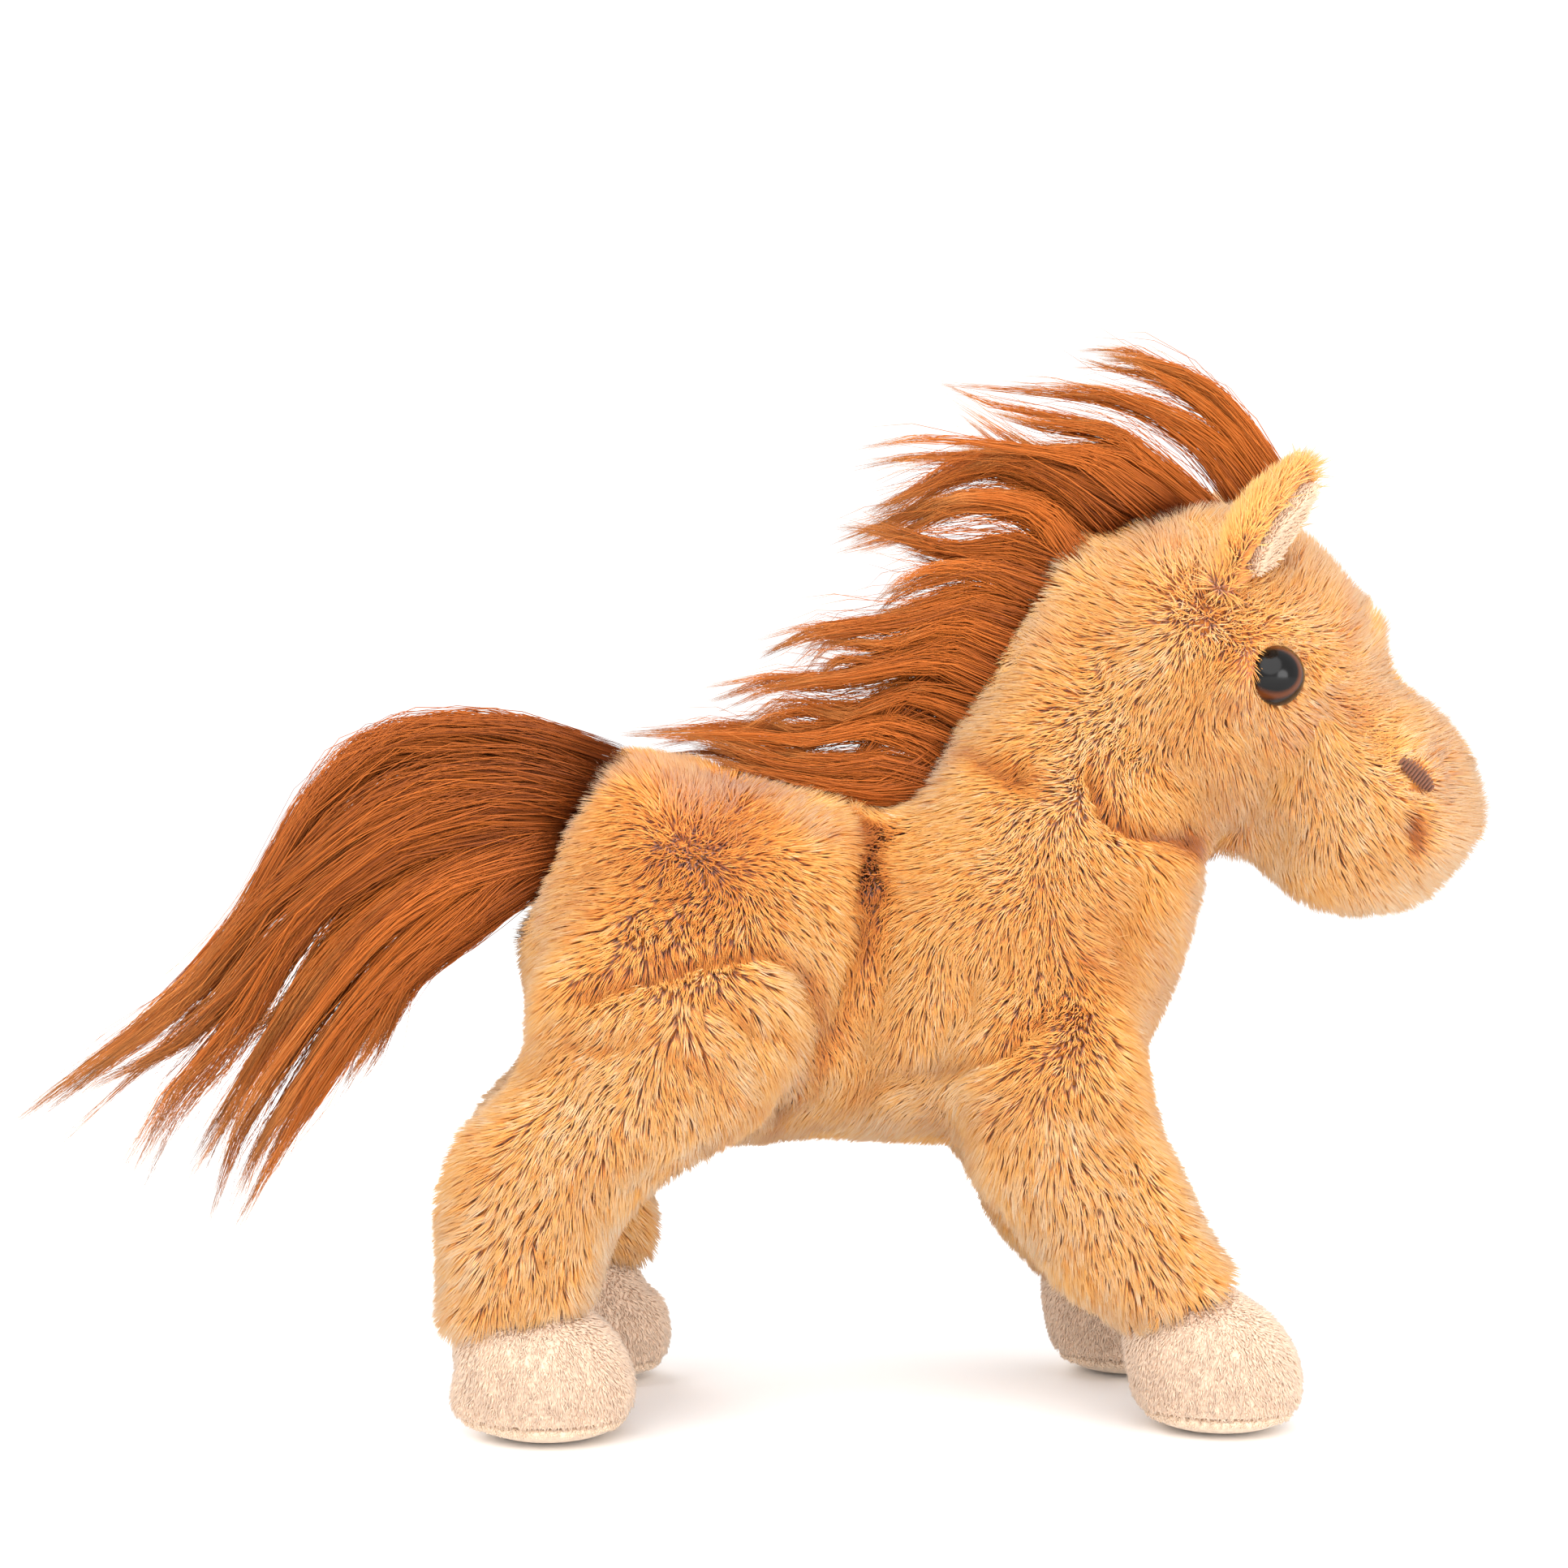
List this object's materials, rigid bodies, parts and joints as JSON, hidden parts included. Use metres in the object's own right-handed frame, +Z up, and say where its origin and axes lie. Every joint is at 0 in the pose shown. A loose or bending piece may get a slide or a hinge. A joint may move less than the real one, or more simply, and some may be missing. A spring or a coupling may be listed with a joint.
{
  "type": "plush horse",
  "caption": "Standing plush horse in tan pile with a long brown mane and tail, short-pile hooves, plastic eyes and legs, head, ears and tail that flex and spring back.",
  "frame": {"origin": "on the floor under the middle of the whole length and width", "axes": "+X towards the nose, +Y towards the horse's left side, +Z up"},
  "size_m": [0.3055, 0.0932, 0.2166],
  "materials": {
    "tan_pile": "combed plush pile",
    "long_hair": "long synthetic hair",
    "hoof_pile": "short velvety pile",
    "sole_pile": "short velvety pile",
    "lining_pile": "short velvety pile",
    "stitches": "satin-stitched thread",
    "eye_plastic": "polished",
    "washer_plastic": "moulded"
  },
  "bodies": {
    "body": {"body": "tan_pile", "mane": "long_hair"},
    "head": {"head": "tan_pile", "forelock": "long_hair", "eye_right": "eye_plastic", "eye_washer_right": "washer_plastic", "nostril_right": "stitches", "eye_left": "eye_plastic", "eye_washer_left": "washer_plastic", "nostril_left": "stitches"},
    "tail": {"tail": "long_hair"},
    "hind_leg_right": {"hind_leg_right": "tan_pile", "hind_hoof_right": "hoof_pile", "hind_sole_right": "sole_pile"},
    "hind_leg_left": {"hind_leg_left": "tan_pile", "hind_hoof_left": "hoof_pile", "hind_sole_left": "sole_pile"},
    "front_leg_right": {"front_leg_right": "tan_pile", "front_hoof_right": "hoof_pile", "front_sole_right": "sole_pile"},
    "front_leg_left": {"front_leg_left": "tan_pile", "front_hoof_left": "hoof_pile", "front_sole_left": "sole_pile"},
    "ear_right": {"ear_right": "tan_pile", "ear_lining_right": "lining_pile"},
    "ear_left": {"ear_left": "tan_pile", "ear_lining_left": "lining_pile"}
  },
  "joints": [
    {"name": "head_nod", "type": "hinge", "parent": "body", "child": "head", "pos_m": [0.09556, 0, 0.15], "axis": [0, 1, 0], "range_deg": [-8, 12], "stiffness_Nm_per_rad": 0.6},
    {"name": "tail_lift", "type": "hinge", "parent": "body", "child": "tail", "pos_m": [-0.049, 0, 0.1195], "axis": [0, 1, 0], "range_deg": [-12, 20], "stiffness_Nm_per_rad": 0.8},
    {"name": "hind_leg_right_swing", "type": "hinge", "parent": "body", "child": "hind_leg_right", "pos_m": [-0.018, 0, 0.08], "axis": [0, 1, 0], "range_deg": [-10, 10], "stiffness_Nm_per_rad": 2},
    {"name": "hind_leg_left_swing", "type": "hinge", "parent": "body", "child": "hind_leg_left", "pos_m": [-0.018, 0, 0.08], "axis": [0, 1, 0], "range_deg": [-10, 10], "stiffness_Nm_per_rad": 2},
    {"name": "front_leg_right_swing", "type": "hinge", "parent": "body", "child": "front_leg_right", "pos_m": [0.0587, 0, 0.068], "axis": [0, 1, 0], "range_deg": [-10, 10], "stiffness_Nm_per_rad": 2},
    {"name": "front_leg_left_swing", "type": "hinge", "parent": "body", "child": "front_leg_left", "pos_m": [0.0587, 0, 0.068], "axis": [0, 1, 0], "range_deg": [-10, 10], "stiffness_Nm_per_rad": 2},
    {"name": "ear_right_fold", "type": "hinge", "parent": "head", "child": "ear_right", "pos_m": [0.10156, -0.021, 0.17485], "axis": [0.604, 0.7281, 0.324], "range_deg": [-15, 15], "stiffness_Nm_per_rad": 0.05},
    {"name": "ear_left_fold", "type": "hinge", "parent": "head", "child": "ear_left", "pos_m": [0.10156, 0.021, 0.17485], "axis": [-0.604, 0.7281, -0.324], "range_deg": [-15, 15], "stiffness_Nm_per_rad": 0.05}
  ]
}
